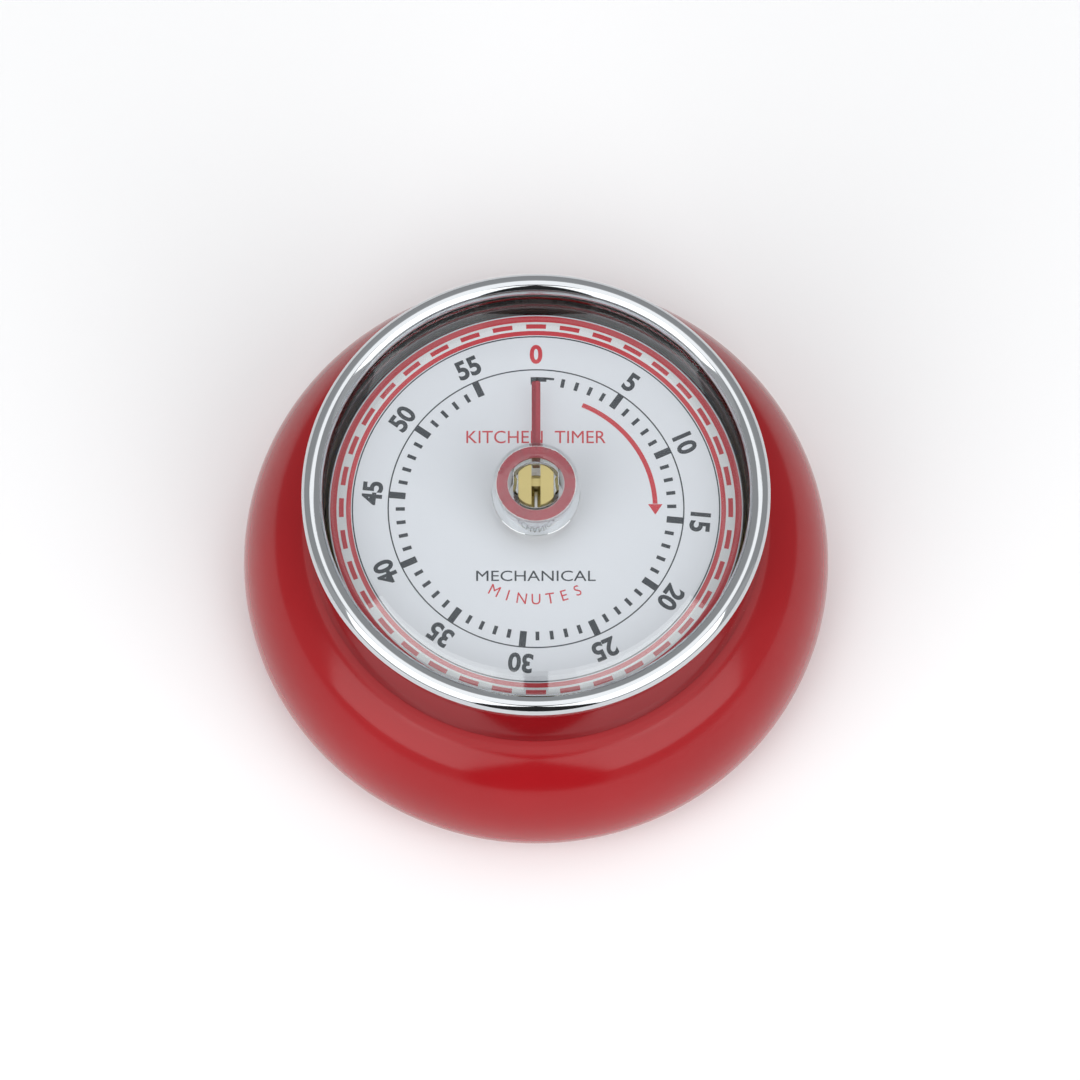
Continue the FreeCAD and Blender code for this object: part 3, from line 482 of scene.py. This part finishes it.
def makePointer():
    look = pointerLook
    outer = lensLook["hub"] - lensLook["hubWall"] - look["gap"]
    inner = lensLook["boss"] + look["gap"]
    roof = hubTop - lensLook["roof"]
    thick = look["thick"]
    cup = turnPiece("pointerCup", [(inner, roof), (inner, roof - thick), (outer - thick, roof - thick),
                                   (outer - thick, roof - look["skirt"]), (outer, roof - look["skirt"]),
                                   (outer, roof)], segments=128)
    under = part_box("pointer")[0].z
    leg = blockPiece((look["width"], thick, roof - look["skirt"] - under + thick),
                     (0, outer - thick / 2, (roof - look["skirt"] + under + thick) / 2), "pointerLeg")
    bar = blockPiece((look["width"], look["reach"] - outer + thick, thick),
                     (0, (look["reach"] + outer - thick) / 2, under + thick / 2), "pointerBar")
    startEdit(bar)
    bpy.ops.mesh.select_mode(type="EDGE")
    mesh = bmesh.from_edit_mesh(bar.data)
    for edge in mesh.edges:
        a, b = (v.co for v in edge.verts)
        if min(a.y, b.y) > look["reach"] - 0.1 * mm and abs(a.z - b.z) > 0.1 * mm:
            edge.select = True
    bmesh.update_edit_mesh(bar.data)
    bpy.ops.mesh.bevel(offset=0.3 * mm, segments=4, affect="EDGES")
    bpy.ops.mesh.select_mode(type="VERT")
    bpy.ops.object.mode_set(mode="OBJECT")
    pointer = joinPieces([cup, leg, bar], "pointerNeedle")
    coat(pointer, "pointer")
    return place(pointer, "cap", "pointer_red", "pointer")


sleeveLook = {"gap": 0.4 * mm, "wall": 0.7 * mm, "step": 0.12 * mm}


def makeSleeve():
    low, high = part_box("lens_sleeve")[0].z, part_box("lens_sleeve")[1].z
    inner = dialRadius + sleeveLook["gap"]
    outer = inner + sleeveLook["wall"]
    outline = [(outer, low), (outer, high), (inner + 0.15 * mm, high), (inner + 0.05 * mm, high - 0.1 * mm)]
    for i in range(1, 5):
        level = high - (high - low) * i / 5
        outline += [(inner + 0.05 * mm, level + 0.1 * mm), (inner + sleeveLook["step"], level),
                    (inner + 0.05 * mm, level - 0.1 * mm)]
    outline += [(inner + 0.05 * mm, low + 0.1 * mm), (inner + 0.15 * mm, low)]
    sleeve = turnPiece("sleeveRing", outline, segments=160)
    coat(sleeve, "sleeve")
    return place(sleeve, "cap", "sleeve_dark", "lens_sleeve")


arborLook = {"head": 2.85 * mm, "flat": 2.2 * mm, "slot": 1.13 * mm, "depth": 4.4 * mm, "edge": 0.12 * mm,
             "bridge": (0.11 * mm, 1.14 * mm), "bridgeDrop": 0.9 * mm,
             "key": (0.5 * mm, -2.24 * mm, -0.11 * mm), "keyHeight": 2.2 * mm}


def makeArbor():
    look = arborLook
    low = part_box("arbor")[0].z
    headLow = dialTop + 1 * mm
    pivot, stem = 1.4 * mm, 2.0 * mm
    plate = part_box("rear_plate")[1].z
    outline = [(pivot, low), (pivot, plate), (stem, plate), (stem, headLow), (look["head"], headLow),
               (look["head"], arborTop - look["edge"]), (look["head"] - look["edge"], arborTop)]
    arbor = turnPiece("arborBrass", outline, ring=False, segments=96)
    trimFlats(arbor, look["flat"], headLow - 0.01 * mm, arborTop + 0.01 * mm, lambda r: r > look["flat"])
    middle = arborTop - look["depth"] / 2 + 0.01 * mm
    slot = blockPiece((look["slot"], 8 * mm, look["depth"]), (0, 0, middle), "slotTool")
    pick(arbor)
    saw = arbor.modifiers.new("saw", "BOOLEAN")
    saw.operation = "DIFFERENCE"
    saw.object = slot
    bpy.ops.object.modifier_apply(modifier="saw")
    bpy.data.objects.remove(slot)
    start, end = look["bridge"]
    tall = look["depth"] - look["bridgeDrop"]
    bridge = blockPiece((look["slot"], end - start, tall),
                        (0, (start + end) / 2, arborTop - look["bridgeDrop"] - tall / 2), "bridge")
    arbor = joinPieces([arbor, bridge], "arborBrass")
    coat(arbor, "brassFace")
    width, near, far = look["key"]
    foot = arborTop - look["depth"]
    key = blockPiece((width, far - near, look["keyHeight"]), (0, (near + far) / 2, foot + look["keyHeight"] / 2),
                     "arborKey", 0.06 * mm)
    coat(key, "steel")
    place(key, "cap", "steel", "arbor_key")
    return place(arbor, "cap", "brass", "arbor")


dialLook = {"ring": 18.6 * mm, "outerRing": 23.1 * mm, "redInner": (23.3 * mm, 23.9 * mm),
            "band": (23.9 * mm, 25.1 * mm),
            "dash": (24.2 * mm, 24.8 * mm), "dashes": 36, "dashAngle": 5.9, "redOuter": (25.1 * mm, 25.9 * mm),
            "numberRadius": 20.7 * mm, "numberHeight": 2.6 * mm, "first": 5.4, "line": 0.17 * mm,
            "hole": 3.2 * mm, "edge": 0.08 * mm, "tick": (16.5 * mm, 17.65 * mm, 0.47 * mm),
            "fiveWidth": 0.86 * mm, "bold": 0.034,
            "title": (1.7 * mm, 17.6 * mm, 9.5 * mm), "lower": (1.4 * mm, 15.0 * mm, -9.1 * mm),
            "last": (1.4 * mm, -12.2 * mm, 8.4), "arrow": (14.7 * mm, 15.3 * mm, 23, 88), "head": 1.1 * mm,
            "flag": [(-0.6, 16.6 * mm, 17.6 * mm, 1.0 * mm), (2.2, 17.0 * mm, 17.6 * mm, 1.3 * mm),
                     (5.4, 17.3 * mm, 17.6 * mm, 1.3 * mm)]}


def inkRing(name, inner, outer, ink, lift=0.01 * mm):
    level = dialTop + lift
    ring = turnPiece(name, [(inner, dialTop), (outer, dialTop), (outer, level), (inner, level)], segments=160)
    coat(ring, ink)
    return ring


def spokes(name, entries, ink, lift=0.012 * mm):
    # bars across a circle: each entry is angle from zero clockwise, inner radius, outer radius, width
    pieces = []
    for angle, inner, outer, width in entries:
        deselectAll()
        bpy.ops.mesh.primitive_plane_add(size=1, location=(0, (inner + outer) / 2, 0))
        bar = bpy.context.object
        bar.scale = (width, outer - inner, 1)
        bpy.ops.object.transform_apply(location=True, rotation=True, scale=True)
        startEdit(bar)
        bpy.ops.mesh.select_all(action="SELECT")
        bpy.ops.mesh.extrude_region_move(TRANSFORM_OT_translate={"value": (0, 0, lift)})
        bpy.ops.mesh.select_all(action="SELECT")
        bpy.ops.mesh.normals_make_consistent(inside=False)
        bpy.ops.object.mode_set(mode="OBJECT")
        bar.rotation_euler = (0, 0, -math.radians(angle))
        bar.location = (0, 0, dialTop)
        bpy.ops.object.transform_apply(location=True, rotation=True, scale=True)
        pieces.append(bar)
    joined = joinPieces(pieces, name)
    coat(joined, ink)
    return joined


def arcBar(name, inner, outer, start, end, ink, lift=0.014 * mm, steps=24):
    # a flat bar bent along the dial: angles from zero, clockwise
    deselectAll()
    bpy.ops.mesh.primitive_plane_add(size=1, location=(0, (inner + outer) / 2, dialTop + lift))
    bar = bpy.context.object
    bar.scale = (0.0001 * mm, outer - inner, 1)
    bpy.ops.object.transform_apply(location=True, rotation=True, scale=True)
    startEdit(bar)
    bpy.ops.mesh.select_all(action="SELECT")
    bpy.ops.mesh.remove_doubles(threshold=1e-6)
    bpy.ops.mesh.select_all(action="SELECT")
    bpy.ops.transform.rotate(value=math.radians(start), orient_axis="Z", center_override=(0, 0, dialTop + lift))
    bpy.ops.mesh.spin(steps=steps, angle=math.radians(end - start), center=(0, 0, dialTop + lift), axis=(0, 0, 1))
    bpy.ops.mesh.select_all(action="SELECT")
    bpy.ops.mesh.normals_make_consistent(inside=False)
    bpy.ops.object.mode_set(mode="OBJECT")
    if bar.data.polygons and bar.data.polygons[0].normal.z < 0:
        bar.data.flip_normals()
    settle(bar, name)
    coat(bar, ink)
    return bar


def words(name, text, height, width, bold, ink, middle, turn=0.0, lift=0.013 * mm):
    # lettering: height of the capitals, full width, middle of the line, turned clockwise about the axis
    relief = 0.004
    deselectAll()
    bpy.ops.object.text_add(location=(0, 0, 0))
    line = bpy.context.object
    line.data.body = text
    line.data.align_x = "CENTER"
    line.data.align_y = "CENTER"
    line.data.size = 1.0
    line.data.offset = bold
    line.data.extrude = relief
    line.data.resolution_u = 4
    bpy.ops.object.convert(target="MESH")
    line = bpy.context.object
    corners = [v.co for v in line.data.vertices]
    low = Vector([min(c[i] for c in corners) for i in range(3)])
    high = Vector([max(c[i] for c in corners) for i in range(3)])
    centre = (low + high) / 2
    scaleX = width / (high.x - low.x) if width else height / (high.y - low.y) * 0.94
    scaleY = height / (high.y - low.y)
    startEdit(line)
    bpy.ops.mesh.select_all(action="SELECT")
    bpy.ops.transform.translate(value=-centre)
    bpy.ops.transform.resize(value=(scaleX, scaleY, lift / 2 / relief), center_override=(0, 0, 0))
    bpy.ops.object.mode_set(mode="OBJECT")
    line.location = (0, middle, dialTop + lift / 2)
    bpy.ops.object.transform_apply(location=True, rotation=True, scale=True)
    line.rotation_euler = (0, 0, -math.radians(turn))
    bpy.ops.object.transform_apply(location=True, rotation=True, scale=True)
    settle(line, name)
    coat(line, ink)
    return line


def makeDial():
    look = dialLook
    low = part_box("dial_plate")[0].z
    hole, edge = look["hole"], look["edge"]
    plate = turnPiece("dialPlate", [(hole, low), (dialRadius - edge, low), (dialRadius, low + edge),
                                    (dialRadius, dialTop - edge), (dialRadius - edge, dialTop),
                                    (hole + 0.05 * mm, dialTop), (hole, dialTop - 0.05 * mm)])
    coat(plate, "dial")
    place(plate, "base", "dial_grey", "dial_plate")
    print("kitchen timer: dial plate made")
    half = look["line"] / 2
    inks = [
        inkRing("minuteCircle", look["ring"] - half, look["ring"] + half, "dark"),
        inkRing("numberCircle", look["outerRing"] - half, look["outerRing"] + half, "dark"),
        inkRing("redInnerRing", *look["redInner"], "red"),
        inkRing("whiteBand", *look["band"], "white", 0.008 * mm),
        inkRing("redOuterRing", *look["redOuter"], "red"),
    ]
    dashes = []
    for i in range(look["dashes"]):
        angle = i * 360 / look["dashes"]
        start, end = angle - look["dashAngle"] / 2, angle + look["dashAngle"] / 2
        dashes.append(arcBar(f"dash{i}", *look["dash"], start, end, "red", steps=4))
    inks.append(joinPieces(dashes, "bandDashes"))
    fives, ones = [], []
    for minute in range(1, 56):
        angle = look["first"] + 6 * minute
        if minute % 5:
            ones.append((angle, *look["tick"]))
        else:
            fives.append((angle, look["tick"][0], look["ring"], look["fiveWidth"]))
    inks.append(spokes("fiveTicks", fives, "dark"))
    inks.append(spokes("minuteTicks", ones, "dark"))
    for minute in range(5, 60, 5):
        inks.append(words(f"figure{minute}", str(minute), look["numberHeight"], None, look["bold"], "dark",
                          look["numberRadius"], look["first"] + 6 * minute))
    inks.append(words("figure0", "0", look["numberHeight"], None, look["bold"], "red", look["numberRadius"]))
    inks.append(spokes("zeroFlag", look["flag"], "dark"))
    for name, text, ink, (height, width, middle) in [("topLine", "KITCHEN  TIMER", "red", look["title"]),
                                                     ("lowerLine", "MECHANICAL", "dark", look["lower"])]:
        inks.append(words(name, text, height, width, 0.0, ink, middle))
    height, middle, spread = look["last"]
    for i, letter in enumerate("MINUTES"):
        inks.append(words(f"lastLine{i}", letter, height, None, 0.0, "red", middle, (3 - i) * spread))
    inks.append(arcBar("arrowShaft", *look["arrow"], "red", steps=40))
    inks.append(arrowHead())
    for ink in inks:
        place(ink, "base", "dial_grey")
    return plate


def arrowHead():
    # a triangle at the clockwise end of the curved arrow
    deselectAll()
    inner, outer = dialLook["arrow"][:2]
    bpy.ops.mesh.primitive_circle_add(vertices=3, radius=dialLook["head"], fill_type="NGON", location=(0, 0, 0))
    head = bpy.context.object
    startEdit(head)
    bpy.ops.mesh.select_all(action="SELECT")
    bpy.ops.transform.resize(value=(0.95, 0.85, 1), center_override=(0, 0, 0))
    bpy.ops.object.mode_set(mode="OBJECT")
    head.rotation_euler = (0, 0, -math.radians(90))
    head.location = (0, (inner + outer) / 2, dialTop + 0.015 * mm)
    bpy.ops.object.transform_apply(location=True, rotation=True, scale=True)
    head.rotation_euler = (0, 0, -math.radians(90))
    bpy.ops.object.transform_apply(location=True, rotation=True, scale=True)
    if head.data.polygons[0].normal.z < 0:
        head.data.flip_normals()
    settle(head, "arrowHead")
    coat(head, "red")
    return head


keptFinish = {
    "brassPlate": ["rear_plate", "front_plate"],
    "brassTurned": ["great_wheel", "second_wheel", "third_wheel", "escape_wheel", "strike_wheel", "release_cam",
                    "hammer_head"],
    "steel": ["second_pinion", "third_pinion", "escape_pinion", "strike_pinion", "spring_post", "balance_bar",
              "pallet_fork", "hammer_arm", "hammer_post", "hammer_spring", "release_lever", "release_post",
              "plate_pillars", "plate_screws", "dial_feet", "gong_post", "gong_screw", "cover_screws"],
    "spring": ["mainspring", "clutch_washer"],
    "gong": ["gong"],
    "cover": ["back_cover"],
    "magnet": ["magnets"],
}


def finishKept():
    for finish, nodes in keptFinish.items():
        for node in nodes:
            coat(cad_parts[node], finish)


studio = {"floor": (0.94, 0.94, 0.945), "world": (0.83, 0.84, 0.85), "low": 0.60, "roof": 0.60, "backDrop": 0.2,
          "gapWidth": 0.37, "gap": 0.94,
          "boxes": [("leftSoftbox", -44, 40, 1.1, 0.95, 1.05, 6.0), ("rightSoftbox", 44, 40, 1.1, 0.95, 1.05, 6.0),
                    ("topSoftbox", 0, 90, 1.2, 1.1, 0.95, 3.2)]}


def softbox(name, azimuth, elevation, distance, width, height, power):
    # an area light that faces the object; azimuth 0 is the front
    direction = Vector((math.sin(math.radians(azimuth)) * math.cos(math.radians(elevation)),
                        -math.cos(math.radians(azimuth)) * math.cos(math.radians(elevation)),
                        math.sin(math.radians(elevation))))
    data = bpy.data.lights.new(name, "AREA")
    data.shape = "RECTANGLE"
    data.size = width
    data.size_y = height
    data.energy = power
    lamp = bpy.data.objects.new(name, data)
    bpy.context.scene.collection.objects.link(lamp)
    lamp.location = direction * distance
    lamp.rotation_euler = direction.to_track_quat("Z", "Y").to_euler()
    lamp.visible_camera = False
    return lamp


def makeStudio():
    deselectAll()
    bpy.ops.mesh.primitive_plane_add(size=6, location=(0, 0, -0.05 * mm))
    floor = bpy.context.object
    floor.name = "paleFloor"
    material, paint = newMaterial("paleFloor")
    surface = paint.add("ShaderNodeBsdfPrincipled", inputs={"Base Color": tone(studio["floor"]), "Roughness": 0.8})
    finishSurface(paint, surface)
    floor.data.materials.append(material)
    world = bpy.data.worlds.new("studioAir")
    world.use_nodes = True
    bpy.context.scene.world = world
    paint = Paint(world.node_tree)
    split = paint.add("ShaderNodeSeparateXYZ", inputs={"Vector": paint.add("ShaderNodeTexCoord", out="Generated")})
    x, y, z = (Wire(paint, split.socket.node.outputs[i]) for i in range(3))
    roof = paint.ramp(z, [(0.0, studio["low"]), (0.86, studio["low"]), (0.93, studio["roof"])])
    gap = (abs(x) < studio["gapWidth"] * abs(y)) * (y < 0.0) * (z < 0.915)
    back = (y > 0.0) * (z < 0.86)
    level = roof * (1 - studio["gap"] * gap) * (1 - studio["backDrop"] * back)
    air = paint.add("ShaderNodeBackground", inputs={"Color": tone(studio["world"]), "Strength": level})
    output = world.node_tree.nodes.new("ShaderNodeOutputWorld")
    world.node_tree.links.new(air.socket, output.inputs["Surface"])
    for entry in studio["boxes"]:
        softbox(*entry)


cameraLook = {"lens": 235.3, "sensor": 36, "place": (0.5 * mm, -305.2 * mm, 833.9 * mm), "tilt": 19.84}


def makeCamera():
    # the dial fills the middle of the frame from a high stand
    data = bpy.data.cameras.new("mainCamera")
    data.lens = cameraLook["lens"]
    data.sensor_width = cameraLook["sensor"]
    camera = bpy.data.objects.new("mainCamera", data)
    camera.location = Vector(cameraLook["place"]) + Vector((0, 0, dialTop))
    camera.rotation_euler = (math.radians(cameraLook["tilt"]), 0, 0)
    bpy.context.scene.collection.objects.link(camera)
    bpy.context.scene.camera = camera


makeShell()
makeBezel()
makeLens()
makePointer()
makeSleeve()
makeArbor()
print("kitchen timer: cap made")
makeDial()
print("kitchen timer: dial printed")
finishKept()
makeStudio()
makeCamera()
bpy.context.scene.view_settings.view_transform = "Standard"
